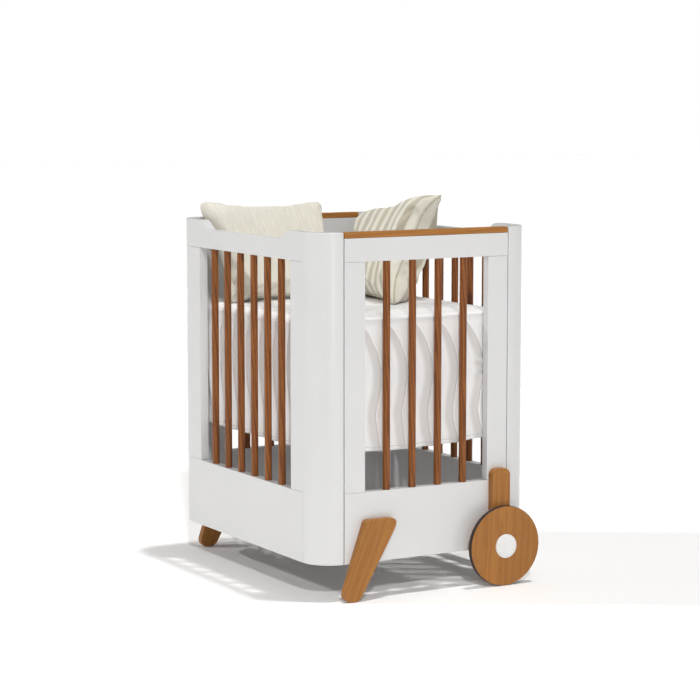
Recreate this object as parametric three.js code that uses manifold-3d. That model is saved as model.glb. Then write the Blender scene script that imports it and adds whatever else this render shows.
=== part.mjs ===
// Baby crib with scooped long sides, dowel slats, two splayed legs and two wooden wheels.
// Millimetres, +Z up, the long sides face -Y and +Y, the ends face -X and +X.
// The origin is on the floor, under the middle of the crib.

import * as THREE from 'three';
import { mergeVertices } from 'three/addons/utils/BufferGeometryUtils.js';
import Module from 'manifold-3d';

const wasm = await Module();
wasm.setup();

// ---------- driving dimensions ----------

const GAP = 0.3;                   // between pieces that touch
const LENGTH = 837;                // X, over the end panels
const WIDTH = 674.5;               // Y, over the side panels
const BOARD = 25;                  // thickness of every panel, rail, stile and post
const CORNER_RADIUS = 80;          // outer radius of the curved posts
const POST_LIP = 2.4;              // straight strip of the post on the end face

const PANEL_BOTTOM = 99;
const PANEL_TOP = 288.5;
const RAIL_BOTTOM = 900.5;
const TOP = 979;
const CAP_BOTTOM = 963;            // the wood cap rail starts here on both ends

const SIDE_OPENING = 272;          // half length of the slatted opening in a long side
const END_OPENING = 192;           // half width of the slatted opening in an end
const DOWEL_RADIUS = 10;
const DOWEL_PITCH = 80;
const SIDE_DOWELS = 6;
const END_DOWELS = 4;
const SOCKET_DEPTH = 12;

const SCOOP_DEPTH = 25;            // how far the middle of a long top rail dips
const SCOOP_START = 270;           // half length where the dip starts
const SCOOP_FLOOR = 210;           // half length of its flat floor

const FITTING_THICKNESS = 22;      // legs and wheel struts
const WHEEL_RADIUS = 110;
const WHEEL_Y = 225;
const WHEEL_THICKNESS = 17.5;
const TYRE_WIDTH = 11.5;
const TYRE_DEPTH = 7;
const RIM_INSET = 0.8;             // the wood rims sit this far inside the tread
const STRUT_WIDTH = 56.5;
const STRUT_TOP = 320.5;
const STRUT_ROUND = 19;            // radius of the strut's two top corners
const SPACER = 4.4;                // collar of the axle, between strut and wheel
const AXLE_RADIUS = 6;
const AXLE_RUNNING_GAP = 0.15;
const AXLE_HEAD = { radius: 12, thickness: 5 };
const COLLAR_RADIUS = 15;
const HUB_CAP = { radius: 33, height: 7 };

const BASE_TOP = 640;              // top of the mattress base, at its highest setting
const BASE_THICKNESS = 18;
const BASE_SIZE = { x: 372, y: 292 };       // half sizes
const MATTRESS_SIZE = { x: 375.5, y: 295.5 };
const MATTRESS_HEIGHT = 104;
const DRAPE_SIZE = { x: 384, y: 304 };
const DRAPE_WALL = 4;
const DRAPE_TOP = 750;
const DRAPE_HEM = 387;
const BED_CORNER = 48;             // corner radius of the drape in plan
const BED_SHOULDER = 26;           // rounding of the drape's top edge

const SLOT = { halfWidth: 12, halfLength: 105, pitch: 62, count: 11, rowOffset: 135 };

const BRACKET = { y: 222.5, width: 36, plate: 3, inside: 348, height: 74 };
const BRACKET_BOLT = { radius: 7, head: 3.4, sunk: 1 };
const BOLT_PLACES = [0.35, 0.75];  // shares of the bracket's height, from its top
const SLIT_WIDTH = 48;

// ---------- materials ----------

function finish(color, roughness, metalness = 0) {
  return new THREE.MeshStandardMaterial({ color, roughness, metalness });
}

const WHITE_PAINT = finish(0xf2f2f2, 0.42);
const LIGHT_WOOD = finish(0xb47a40, 0.5);
const DOWEL_WOOD = finish(0x8c5530, 0.5);
const TYRE_RUBBER = finish(0x1c1b1a, 0.8);
const CAP_PLASTIC = finish(0xf4f4f2, 0.35);
const STEEL = finish(0xb8bbbe, 0.35, 1);
const MATTRESS_CLOTH = finish(0xf0eee8, 0.9);
const DRAPE_CLOTH = finish(0xf1efec, 0.85);
const PLAIN_LINEN = finish(0xe4dccb, 0.9);
const STRIPED_LINEN = finish(0xded5bd, 0.9);

// ---------- the model and its small tools ----------

const crib = new THREE.Group();
crib.name = 'baby_crib';

function addPart(name, geometry, material) {
  const mesh = new THREE.Mesh(geometry, material);
  mesh.name = name;
  crib.add(mesh);
}

function solidOf(geometry) {
  const bare = new THREE.BufferGeometry();
  bare.setAttribute('position', geometry.getAttribute('position'));
  if (geometry.index) bare.setIndex(geometry.index);
  const merged = mergeVertices(bare, 1e-3);
  return new wasm.Manifold(new wasm.Mesh({
    numProp: 3,
    vertProperties: Float32Array.from(merged.getAttribute('position').array),
    triVerts: Uint32Array.from(merged.index.array),
  }));
}

function geometryOf(solid) {
  const mesh = solid.getMesh();
  const geometry = new THREE.BufferGeometry();
  geometry.setAttribute('position', new THREE.BufferAttribute(mesh.vertProperties, mesh.numProp));
  geometry.setIndex(new THREE.BufferAttribute(mesh.triVerts, 1));
  return geometry;
}

function join(first, ...others) {
  return geometryOf(others.reduce((sum, other) => sum.add(solidOf(other)), solidOf(first)));
}

function cut(body, tools) {
  return geometryOf(tools.reduce((rest, tool) => rest.subtract(solidOf(tool)), solidOf(body)));
}

function boxBetween([x0, y0, z0], [x1, y1, z1]) {
  const box = new THREE.BoxGeometry(x1 - x0, y1 - y0, z1 - z0);
  return box.translate((x0 + x1) / 2, (y0 + y1) / 2, (z0 + z1) / 2);
}

function uprightRod(radius, x, y, z0, z1, sides = 20) {
  const rod = new THREE.CylinderGeometry(radius, radius, z1 - z0, sides);
  return rod.rotateX(Math.PI / 2).translate(x, y, (z0 + z1) / 2);
}

// An outline drawn in (y, z), given thickness along X from x0.
function plankAcrossX(shape, x0, thickness) {
  const settings = { depth: thickness, bevelEnabled: false, curveSegments: 8 };
  const plank = new THREE.ExtrudeGeometry(shape, settings);
  const axes = new THREE.Matrix4().makeBasis(
    new THREE.Vector3(0, 1, 0), new THREE.Vector3(0, 0, 1), new THREE.Vector3(1, 0, 0));
  return plank.applyMatrix4(axes).translate(x0, 0, 0);
}

// An outline drawn in (x, z), given thickness along Y from y0.
function plankAcrossY(shape, y0, thickness) {
  const settings = { depth: thickness, bevelEnabled: false, curveSegments: 10 };
  const plank = new THREE.ExtrudeGeometry(shape, settings);
  return plank.rotateX(Math.PI / 2).translate(0, y0 + thickness, 0);
}

// A polygon whose corners are rounded, each with its own radius: [x, y, radius] in order.
function roundedPolygon(corners) {
  const shape = new THREE.Shape();
  corners.forEach(([x, y, radius], i) => {
    const corner = new THREE.Vector2(x, y);
    const [lastX, lastY] = corners.at(i - 1);
    const [nextX, nextY] = corners[(i + 1) % corners.length];
    const before = new THREE.Vector2(lastX, lastY).sub(corner).normalize();
    const after = new THREE.Vector2(nextX, nextY).sub(corner).normalize();
    const reach = radius / Math.tan(Math.acos(before.dot(after)) / 2);
    const start = corner.clone().addScaledVector(before, reach);
    const end = corner.clone().addScaledVector(after, reach);
    if (i === 0) shape.moveTo(start.x, start.y);
    else shape.lineTo(start.x, start.y);
    shape.quadraticCurveTo(x, y, end.x, end.y);
  });
  shape.closePath();
  return shape;
}

function roundedRectangle(halfX, halfY, radius) {
  const shape = new THREE.Shape();
  shape.absarc(halfX - radius, halfY - radius, radius, 0, Math.PI / 2);
  shape.absarc(radius - halfX, halfY - radius, radius, Math.PI / 2, Math.PI);
  shape.absarc(radius - halfX, radius - halfY, radius, Math.PI, 1.5 * Math.PI);
  shape.absarc(halfX - radius, radius - halfY, radius, 1.5 * Math.PI, 2 * Math.PI);
  shape.closePath();
  return shape;
}

// A padded block: a rounded rectangle in plan, with rounded top and bottom edges.
function softBlock(halfX, halfY, z0, z1, corner, shoulder) {
  const block = new THREE.ExtrudeGeometry(roundedRectangle(halfX, halfY, corner), {
    depth: z1 - z0 - 2 * shoulder,
    bevelThickness: shoulder,
    bevelSize: shoulder,
    bevelOffset: -shoulder,
    bevelSegments: 3,
    curveSegments: 5,
  });
  return block.translate(0, 0, z0 + shoulder);
}

// The middles of a row of slats, centred on zero.
function slatPlaces(count) {
  return Array.from({ length: count }, (_, i) => (i - (count - 1) / 2) * DOWEL_PITCH);
}

const MIRROR_X = new THREE.Matrix4().makeScale(-1, 1, 1);
const MIRROR_Y = new THREE.Matrix4().makeScale(1, -1, 1);

// A mirrored copy, with its faces turned so that they still point out.
function mirrored(geometry, matrix) {
  const copy = geometry.clone().applyMatrix4(matrix);
  if (!copy.index) return flipSoup(copy);
  const order = copy.index.array;
  for (let i = 0; i < order.length; i += 3) [order[i + 1], order[i + 2]] = [order[i + 2], order[i + 1]];
  return copy;
}

function flipSoup(copy) {
  const count = copy.getAttribute('position').count;
  copy.setIndex(Array.from({ length: count }, (_, i) => i - (i % 3) + ((3 - (i % 3)) % 3)));
  return copy;
}

const ENDS = [['foot', 1], ['head', -1]];
const SIDES = [['front', -1], ['back', 1]];
const onEnd = (geometry, sign) => (sign > 0 ? geometry : mirrored(geometry, MIRROR_X));
const onSide = (geometry, sign) => (sign > 0 ? geometry : mirrored(geometry, MIRROR_Y));

const END_FACE = LENGTH / 2;
const SIDE_FACE = WIDTH / 2;
const END_CENTRE = END_FACE - BOARD / 2;
const SIDE_CENTRE = SIDE_FACE - BOARD / 2;
const TANGENT_X = END_FACE - CORNER_RADIUS;      // where the curve of a post starts, on a long side
const TANGENT_Y = SIDE_FACE - CORNER_RADIUS;
const POST_EDGE_Y = TANGENT_Y - POST_LIP;

// ---------- corner posts ----------

// A quarter pipe over the full height, with the flat stile of the long side as its tongue.
function cornerPost() {
  const section = new THREE.Shape();
  const inner = CORNER_RADIUS - BOARD;
  section.moveTo(END_FACE, POST_EDGE_Y);
  section.absarc(TANGENT_X, TANGENT_Y, CORNER_RADIUS, 0, Math.PI / 2, false);
  section.absarc(TANGENT_X, TANGENT_Y, inner, Math.PI / 2, 0, true);
  section.lineTo(END_FACE - BOARD, POST_EDGE_Y);
  section.closePath();
  const pipe = new THREE.ExtrudeGeometry(section, {
    depth: TOP - PANEL_BOTTOM, bevelEnabled: false, curveSegments: 14,
  }).translate(0, 0, PANEL_BOTTOM);
  const tongue = boxBetween(
    [SIDE_OPENING, SIDE_FACE - BOARD, PANEL_TOP], [TANGENT_X, SIDE_FACE, RAIL_BOTTOM]);
  return join(pipe, tongue);
}

for (const [end, endSign] of ENDS) {
  for (const [side, sideSign] of SIDES) {
    addPart(`corner_post_${end}_${side}`, onSide(onEnd(cornerPost(), endSign), sideSign), WHITE_PAINT);
  }
}

// ---------- long sides ----------

function sideSockets(z0, z1) {
  return slatPlaces(SIDE_DOWELS).map((x) => uprightRod(DOWEL_RADIUS + GAP, x, SIDE_CENTRE, z0, z1));
}

// The top rail dips in the middle, through an S-curve at each end of the dip.
function scoopedRail() {
  const floor = TOP - SCOOP_DEPTH;
  const ease = (SCOOP_START - SCOOP_FLOOR) * 0.4;
  const outline = new THREE.Shape();
  outline.moveTo(GAP - TANGENT_X, RAIL_BOTTOM + GAP);
  outline.lineTo(TANGENT_X - GAP, RAIL_BOTTOM + GAP);
  outline.lineTo(TANGENT_X - GAP, TOP);
  outline.lineTo(SCOOP_START, TOP);
  outline.bezierCurveTo(SCOOP_START - ease, TOP, SCOOP_FLOOR + ease, floor, SCOOP_FLOOR, floor);
  outline.lineTo(-SCOOP_FLOOR, floor);
  outline.bezierCurveTo(-SCOOP_FLOOR - ease, floor, ease - SCOOP_START, TOP, -SCOOP_START, TOP);
  outline.lineTo(GAP - TANGENT_X, TOP);
  outline.closePath();
  const rail = plankAcrossY(outline, SIDE_FACE - BOARD, BOARD);
  return cut(rail, sideSockets(RAIL_BOTTOM - SOCKET_DEPTH, RAIL_BOTTOM + SOCKET_DEPTH));
}

function sidePanel() {
  const panel = boxBetween(
    [GAP - TANGENT_X, SIDE_FACE - BOARD, PANEL_BOTTOM], [TANGENT_X - GAP, SIDE_FACE, PANEL_TOP - GAP]);
  return cut(panel, sideSockets(PANEL_TOP - SOCKET_DEPTH, PANEL_TOP + SOCKET_DEPTH));
}

const DOWEL_FOOT = PANEL_TOP - SOCKET_DEPTH + GAP;
const DOWEL_HEAD = RAIL_BOTTOM + SOCKET_DEPTH - GAP;

for (const [side, sign] of SIDES) {
  addPart(`${side}_top_rail`, onSide(scoopedRail(), sign), WHITE_PAINT);
  addPart(`${side}_bottom_panel`, onSide(sidePanel(), sign), WHITE_PAINT);
  slatPlaces(SIDE_DOWELS).forEach((x, i) => {
    const dowel = uprightRod(DOWEL_RADIUS, x, sign * SIDE_CENTRE, DOWEL_FOOT, DOWEL_HEAD);
    addPart(`${side}_dowel_${i + 1}`, dowel, DOWEL_WOOD);
  });
}

// ---------- ends ----------

function endBoard(halfY, z0, z1) {
  return boxBetween([END_FACE - BOARD, -halfY, z0], [END_FACE, halfY, z1]);
}

function endSockets(z0, z1) {
  return slatPlaces(END_DOWELS).map((y) => uprightRod(DOWEL_RADIUS + GAP, END_CENTRE, y, z0, z1));
}

function endStile() {
  return boxBetween(
    [END_FACE - BOARD, END_OPENING, PANEL_TOP], [END_FACE, POST_EDGE_Y - GAP, RAIL_BOTTOM]);
}

function endTopRail() {
  const rail = endBoard(POST_EDGE_Y - GAP, RAIL_BOTTOM + GAP, CAP_BOTTOM - GAP);
  return cut(rail, endSockets(RAIL_BOTTOM - SOCKET_DEPTH, RAIL_BOTTOM + SOCKET_DEPTH));
}

function endPanel() {
  const panel = endBoard(POST_EDGE_Y - GAP, PANEL_BOTTOM, PANEL_TOP - GAP);
  return cut(panel, endSockets(PANEL_TOP - SOCKET_DEPTH, PANEL_TOP + SOCKET_DEPTH));
}

for (const [end, sign] of ENDS) {
  addPart(`${end}_cap_rail`, onEnd(endBoard(POST_EDGE_Y - GAP, CAP_BOTTOM, TOP), sign), LIGHT_WOOD);
  addPart(`${end}_top_rail`, onEnd(endTopRail(), sign), WHITE_PAINT);
  addPart(`${end}_bottom_panel`, onEnd(endPanel(), sign), WHITE_PAINT);
  for (const [side, sideSign] of SIDES) {
    addPart(`${end}_stile_${side}`, onSide(onEnd(endStile(), sign), sideSign), WHITE_PAINT);
  }
  slatPlaces(END_DOWELS).forEach((y, i) => {
    const dowel = uprightRod(DOWEL_RADIUS, sign * END_CENTRE, y, DOWEL_FOOT, DOWEL_HEAD);
    addPart(`${end}_dowel_${i + 1}`, dowel, DOWEL_WOOD);
  });
}

// ---------- legs ----------

// A slanted plank that narrows towards its round foot.
function leg() {
  const outline = roundedPolygon([
    [-276, 0, 27],
    [-220.4, 0, 27],
    [-95, 217, 21],
    [-201.4, 217, 16],
  ]);
  return plankAcrossX(outline, END_FACE + GAP, FITTING_THICKNESS);
}

// ---------- wheels ----------

const STRUT_FRONT = END_FACE + GAP + FITTING_THICKNESS;
const COLLAR_FRONT = STRUT_FRONT + GAP + SPACER;
const WHEEL_BACK = COLLAR_FRONT + GAP;
const WHEEL_FRONT = WHEEL_BACK + WHEEL_THICKNESS;
const WHEEL_SIDES = 40;
const AXLE_SIDES = 24;

// A closed profile of [radius, x] points, turned about the wheel's axis.
function turned(profile, sides = WHEEL_SIDES) {
  const points = profile.map(([radius, x]) => new THREE.Vector2(radius, x));
  const body = new THREE.LatheGeometry(points, sides);
  return body.rotateZ(-Math.PI / 2).translate(0, WHEEL_Y, WHEEL_RADIUS);
}

function strut() {
  const half = STRUT_WIDTH / 2;
  const outline = new THREE.Shape();
  const inset = half - STRUT_ROUND;
  const shoulder = STRUT_TOP - STRUT_ROUND;
  outline.absarc(WHEEL_Y, WHEEL_RADIUS, half, Math.PI, 2 * Math.PI, false);
  outline.absarc(WHEEL_Y + inset, shoulder, STRUT_ROUND, 0, Math.PI / 2, false);
  outline.absarc(WHEEL_Y - inset, shoulder, STRUT_ROUND, Math.PI / 2, Math.PI, false);
  outline.closePath();
  const bore = new THREE.Path();
  bore.absarc(WHEEL_Y, WHEEL_RADIUS, AXLE_RADIUS + GAP, 0, 2 * Math.PI, true);
  outline.holes.push(bore);
  return plankAcrossX(outline, END_FACE + GAP, FITTING_THICKNESS);
}

// Shaft, collar and head in one: the collar keeps the wheel off the strut.
function axle() {
  const headBack = WHEEL_FRONT - AXLE_HEAD.thickness;
  return turned([
    [0, END_FACE + 2 * GAP],
    [AXLE_RADIUS, END_FACE + 2 * GAP],
    [AXLE_RADIUS, STRUT_FRONT + GAP],
    [COLLAR_RADIUS, STRUT_FRONT + GAP],
    [COLLAR_RADIUS, COLLAR_FRONT],
    [AXLE_RADIUS, COLLAR_FRONT],
    [AXLE_RADIUS, headBack],
    [AXLE_HEAD.radius, headBack],
    [AXLE_HEAD.radius, WHEEL_FRONT - GAP],
    [0, WHEEL_FRONT - GAP],
  ], AXLE_SIDES);
}

// A wooden disc with a groove round its rim and a counterbore for the axle's head.
function wheelDisc() {
  const bore = AXLE_RADIUS + AXLE_RUNNING_GAP;
  const counterbore = AXLE_HEAD.radius + GAP;
  const shelf = WHEEL_FRONT - AXLE_HEAD.thickness - GAP;
  const rim = WHEEL_RADIUS - RIM_INSET;
  const groove = WHEEL_RADIUS - TYRE_DEPTH;
  const grooveBack = WHEEL_BACK + (WHEEL_THICKNESS - TYRE_WIDTH) / 2;
  const grooveFront = grooveBack + TYRE_WIDTH;
  const profile = [
    [bore, WHEEL_BACK],
    [rim, WHEEL_BACK],
    [rim, grooveBack],
    [groove, grooveBack],
    [groove, grooveFront],
    [rim, grooveFront],
    [rim, WHEEL_FRONT],
    [counterbore, WHEEL_FRONT],
    [counterbore, shelf],
    [bore, shelf],
  ];
  return turned([...profile, profile[0]]);
}

function tyre() {
  const inside = WHEEL_RADIUS - TYRE_DEPTH + GAP;
  const back = WHEEL_BACK + (WHEEL_THICKNESS - TYRE_WIDTH) / 2 + GAP;
  const front = back + TYRE_WIDTH - 2 * GAP;
  const profile = [[inside, back], [WHEEL_RADIUS, back], [WHEEL_RADIUS, front], [inside, front]];
  return turned([...profile, profile[0]]);
}

function hubCap() {
  const back = WHEEL_FRONT + GAP;
  const { radius, height } = HUB_CAP;
  return turned([
    [0, back],
    [radius, back],
    [radius, back + height * 0.5],
    [radius - 1.2, back + height * 0.8],
    [radius - 4, back + height * 0.95],
    [radius - 10, back + height],
    [0, back + height],
  ]);
}

for (const [end, sign] of ENDS) {
  addPart(`${end}_leg`, onEnd(leg(), sign), LIGHT_WOOD);
  addPart(`${end}_wheel_strut`, onEnd(strut(), sign), LIGHT_WOOD);
  addPart(`${end}_axle`, onEnd(axle(), sign), STEEL);
  addPart(`${end}_wheel_disc`, onEnd(wheelDisc(), sign), LIGHT_WOOD);
  addPart(`${end}_tyre`, onEnd(tyre(), sign), TYRE_RUBBER);
  addPart(`${end}_hub_cap`, onEnd(hubCap(), sign), CAP_PLASTIC);
}

// ---------- mattress base ----------

// A board with two rows of airing slots, as one piece.
function mattressBase() {
  const z0 = BASE_TOP - BASE_THICKNESS;
  const board = new THREE.ExtrudeGeometry(
    roundedRectangle(BASE_SIZE.x, BASE_SIZE.y, BED_CORNER - 10),
    { depth: BASE_THICKNESS, bevelEnabled: false, curveSegments: 5 },
  ).translate(0, 0, z0);
  const slots = [];
  for (let i = 0; i < SLOT.count; i += 1) {
    const x = (i - (SLOT.count - 1) / 2) * SLOT.pitch;
    for (const y of [-SLOT.rowOffset, SLOT.rowOffset]) {
      slots.push(boxBetween(
        [x - SLOT.halfWidth, y - SLOT.halfLength, z0 - 1],
        [x + SLOT.halfWidth, y + SLOT.halfLength, BASE_TOP + 1]));
    }
  }
  return cut(board, slots);
}

// An angle plate under the board and up the inside of an end stile, with its two bolt heads.
function baseBracket() {
  const under = BASE_TOP - BASE_THICKNESS - GAP;
  const face = END_FACE - BOARD - GAP;
  const y0 = BRACKET.y - BRACKET.width / 2;
  const y1 = BRACKET.y + BRACKET.width / 2;
  const foot = boxBetween([BRACKET.inside, y0, under - BRACKET.plate], [face, y1, under]);
  const back = boxBetween([face - BRACKET.plate, y0, under - BRACKET.height], [face, y1, under]);
  const { radius, head, sunk } = BRACKET_BOLT;
  const boltX = face - BRACKET.plate + (sunk - head) / 2;
  const bolts = BOLT_PLACES.map((share) => new THREE.CylinderGeometry(radius, radius, head + sunk, 12)
    .rotateZ(Math.PI / 2)
    .translate(boltX, BRACKET.y, under - BRACKET.height * share));
  return join(foot, back, ...bolts);
}

addPart('mattress_base', mattressBase(), WHITE_PAINT);
for (const [end, sign] of ENDS) {
  for (const [side, sideSign] of SIDES) {
    addPart(`base_bracket_${end}_${side}`, onSide(onEnd(baseBracket(), sign), sideSign), STEEL);
  }
}

// ---------- mattress and bed drape ----------

addPart('mattress', softBlock(
  MATTRESS_SIZE.x, MATTRESS_SIZE.y, BASE_TOP + GAP, BASE_TOP + GAP + MATTRESS_HEIGHT,
  BED_CORNER - 8, BED_SHOULDER - 6), MATTRESS_CLOTH);

// A fitted cover with a long skirt, open below, with a slit for each base bracket.
function bedDrape() {
  const { x, y } = DRAPE_SIZE;
  const below = DRAPE_HEM - 2 * BED_SHOULDER;
  const outside = softBlock(x, y, below, DRAPE_TOP, BED_CORNER, BED_SHOULDER);
  const inside = softBlock(
    x - DRAPE_WALL, y - DRAPE_WALL, below - 1, DRAPE_TOP - DRAPE_WALL,
    BED_CORNER - DRAPE_WALL, BED_SHOULDER - DRAPE_WALL);
  const hem = boxBetween([-x - 1, -y - 1, below - 1], [x + 1, y + 1, DRAPE_HEM]);
  const slitTop = BASE_TOP - BASE_THICKNESS + 8;
  const slits = [];
  for (const sign of [-1, 1]) {
    const middle = sign * BRACKET.y;
    slits.push(boxBetween(
      [-x - 1, middle - SLIT_WIDTH / 2, DRAPE_HEM - 1], [x + 1, middle + SLIT_WIDTH / 2, slitTop]));
  }
  return cut(outside, [inside, hem, ...slits]);
}

addPart('bed_drape', bedDrape(), DRAPE_CLOTH);

// ---------- pillows ----------

// A stuffed cover: its sides pull in between the four corners, and its foot is flat on the bed.
// corners: bottom left, bottom right, top right, top left, as seen from its front.
function pillow(corners, thickness) {
  const [bottomLeft, bottomRight, topRight, topLeft] = corners.map((c) => new THREE.Vector3(...c));
  const cells = 10;
  const pullIn = 0.07;
  const across = topRight.clone().sub(bottomLeft);
  const other = topLeft.clone().sub(bottomRight);
  const outward = across.cross(other).normalize();
  const bottom = new THREE.Vector3();
  const top = new THREE.Vector3();

  function pointAt(i, j, face) {
    const s = (2 * i) / cells - 1;
    const t = (2 * j) / cells - 1;
    const u = (s * (1 - pullIn * (1 - t * t)) + 1) / 2;
    const v = (t * (1 - pullIn * (1 - s * s)) + 1) / 2;
    bottom.lerpVectors(bottomLeft, bottomRight, u);
    top.lerpVectors(topLeft, topRight, u);
    const swell = (thickness / 2) * ((1 - s * s) * (1 - t * t)) ** 0.45;
    return bottom.clone().lerp(top, v).addScaledVector(outward, face * swell);
  }

  const positions = [];
  const push = (...points) => points.forEach((p) => positions.push(p.x, p.y, p.z));
  for (let i = 0; i < cells; i += 1) {
    for (let j = 0; j < cells; j += 1) {
      const cell = [[i, j], [i + 1, j], [i + 1, j + 1], [i, j + 1]];
      const front = cell.map(([a, b]) => pointAt(a, b, 1));
      const back = cell.map(([a, b]) => pointAt(a, b, -1));
      push(front[0], front[1], front[2], front[0], front[2], front[3]);
      push(back[0], back[2], back[1], back[0], back[3], back[2]);
    }
  }
  const cover = new THREE.BufferGeometry();
  cover.setAttribute('position', new THREE.Float32BufferAttribute(positions, 3));
  const reach = 600;
  return cut(cover, [boxBetween([-reach, -reach, 0], [reach, reach, DRAPE_TOP + GAP])]);
}

// Plain pillow: leans back on the head end. Its front faces +X.
addPart('plain_pillow', pillow([
  [-172, -294, 748], [-182, 86, 748], [-336, 92, 1012], [-344, -302, 1022],
], 118), PLAIN_LINEN);

// Striped pillow: leans back on the long side beside it, with one corner high. Its front faces -Y.
addPart('striped_pillow', pillow([
  [-235, 138, 748], [94, 76, 744], [0, 290, 1046], [-335, 242, 980],
], 124), STRIPED_LINEN);

export default crib;
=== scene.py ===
"""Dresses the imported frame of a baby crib: painted boards, lacquered wood, a draped bed and two pillows.

The sizes come from the frame, in metres. The long sides face -Y and +Y, and the ends face -X and +X.
"""

import math

import bpy
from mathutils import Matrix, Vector, noise


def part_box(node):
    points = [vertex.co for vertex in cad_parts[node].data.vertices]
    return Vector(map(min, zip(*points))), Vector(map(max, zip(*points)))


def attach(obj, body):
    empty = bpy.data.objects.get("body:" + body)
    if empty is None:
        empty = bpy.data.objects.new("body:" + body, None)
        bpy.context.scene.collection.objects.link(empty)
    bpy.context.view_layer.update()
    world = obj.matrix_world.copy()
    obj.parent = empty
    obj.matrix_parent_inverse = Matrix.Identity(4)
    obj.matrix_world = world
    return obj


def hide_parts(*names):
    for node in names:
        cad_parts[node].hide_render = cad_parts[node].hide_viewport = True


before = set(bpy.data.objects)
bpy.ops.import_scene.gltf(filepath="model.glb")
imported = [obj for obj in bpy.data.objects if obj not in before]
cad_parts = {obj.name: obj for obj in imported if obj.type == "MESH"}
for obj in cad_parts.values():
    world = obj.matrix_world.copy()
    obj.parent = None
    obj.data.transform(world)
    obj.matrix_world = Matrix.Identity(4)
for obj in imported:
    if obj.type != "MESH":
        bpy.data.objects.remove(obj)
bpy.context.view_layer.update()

bl_info = {
    "name": "Baby crib",
    "version": (1, 0, 0),
    "blender": (4, 5, 0),
    "location": "View3D > Sidebar > Crib",
    "description": "Dresses a baby crib's frame and makes its bedding",
    "category": "Object",
}

ENDS = ("foot", "head")
SIDES = ("front", "back")

DRAPE_LOW, DRAPE_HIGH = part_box("bed_drape")
MATTRESS_LOW, MATTRESS_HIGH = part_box("mattress")
BED_TOP = DRAPE_HIGH.z
SIDE_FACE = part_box("back_top_rail")[0].y      # inner face of the back long side's rail
END_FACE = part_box("foot_stile_back")[0].x     # inner face of the foot end


# ---------- sizes and colours that a user would change ----------


def colour(name, description, default):
    return bpy.props.FloatVectorProperty(
        name=name, description=description, subtype="COLOR", size=3, min=0, max=1, default=default
    )


def length(name, description, default):
    return bpy.props.FloatProperty(
        name=name, description=description, subtype="DISTANCE", unit="LENGTH", default=default
    )


class CribFinishes(bpy.types.PropertyGroup):
    """Colours of the crib and its bedding."""

    paint: colour("Paint", "Satin paint of the boards", (0.69, 0.69, 0.69))
    light_wood: colour("Light wood", "Legs, wheels and cap rails", (0.40, 0.168, 0.034))
    light_wood_grain: colour("Light wood grain", "Darker lines of the light wood", (0.27, 0.098, 0.018))
    dowel_wood: colour("Slat wood", "Round slats", (0.285, 0.094, 0.016))
    dowel_grain: colour("Slat grain", "Darker lines of the slats", (0.135, 0.036, 0.006))
    rubber: colour("Tyre", "Rubber band of the wheels", (0.016, 0.016, 0.018))
    cap: colour("Hub cap", "Moulded hub caps", (0.80, 0.80, 0.79))
    steel: colour("Steel", "Axles and brackets", (0.60, 0.61, 0.62))
    cotton: colour("Drape", "Ground of the bed drape", (0.91, 0.905, 0.898))
    # Painted shade: the drape's wavy bands are the shaded faces of its folds.
    drape_fold_shade: colour("Drape bands", "Wavy bands of the bed drape", (0.67, 0.65, 0.635))
    ticking: colour("Mattress", "Mattress cover", (0.80, 0.78, 0.74))
    cream: colour("Plain pillow", "Cream linen", (0.72, 0.69, 0.60))
    stripe: colour("Pillow stripe", "Beige stripes of the second pillow", (0.47, 0.42, 0.32))
    stripe_ground: colour("Pillow ground", "Cream between the stripes", (0.72, 0.69, 0.59))


class CribSizes(bpy.types.PropertyGroup):
    """Sizes that shape the looks but not the frame."""

    board_edge: length("Board edge", "Rounding of painted boards", 0.0016)
    wood_edge: length("Wood edge", "Rounding of legs, struts and wheels", 0.0028)
    cap_edge: length("Cap rail edge", "Rounding of the cap rails", 0.0022)
    metal_edge: length("Metal edge", "Rounding of steel and plastic", 0.0007)
    # The wavy bands of painted fold shade follow the folds at this pitch.
    fold_pitch: length("Band pitch", "Distance between the drape's wavy bands", 0.081)
    fold_depth: length("Fold depth", "How far the ridges of the drape's folds stand out", 0.0098)
    cloth: length("Cloth", "Thickness of the drape", 0.0014)
    pipe: length("Piping", "Radius of the piping cords", 0.003)


class CribStage(bpy.types.PropertyGroup):
    """Camera and light."""

    camera_place: bpy.props.FloatVectorProperty(
        name="Camera", description="Where the camera stands", subtype="XYZ", unit="LENGTH",
        default=(5.650, -3.224, 1.370),
    )
    camera_turn: bpy.props.FloatProperty(
        name="Turn", description="Direction of view in plan, from the +Y axis", subtype="ANGLE",
        default=math.radians(60.287),
    )
    camera_tilt: bpy.props.FloatProperty(
        name="Tilt", description="How far the camera looks down", subtype="ANGLE",
        default=math.radians(6.623),
    )
    lens: bpy.props.FloatProperty(
        name="Lens", description="Focal length in millimetres", subtype="DISTANCE_CAMERA", default=119.0
    )
    overhead: bpy.props.FloatProperty(
        name="Overhead light", description="Strength of the light from above", default=1.5
    )
    side: bpy.props.FloatProperty(
        name="Side light", description="Strength of the low light on the long side", default=0.8
    )
    end: bpy.props.FloatProperty(
        name="End light", description="Strength of the light on the wheeled end", default=1.1
    )
    softbox: bpy.props.FloatProperty(
        name="Softbox", description="Power of the tall light that shows in the curved posts",
        subtype="POWER", default=10.0,
    )
    sky: bpy.props.FloatProperty(
        name="Sky", description="Strength of the even light all round", default=0.28
    )


# ---------- node trees ----------

COTTON_THREADS = 900              # in a metre of the drape and of the mattress cover
LINEN_THREADS = 520               # in a metre of the pillows' linen


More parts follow.
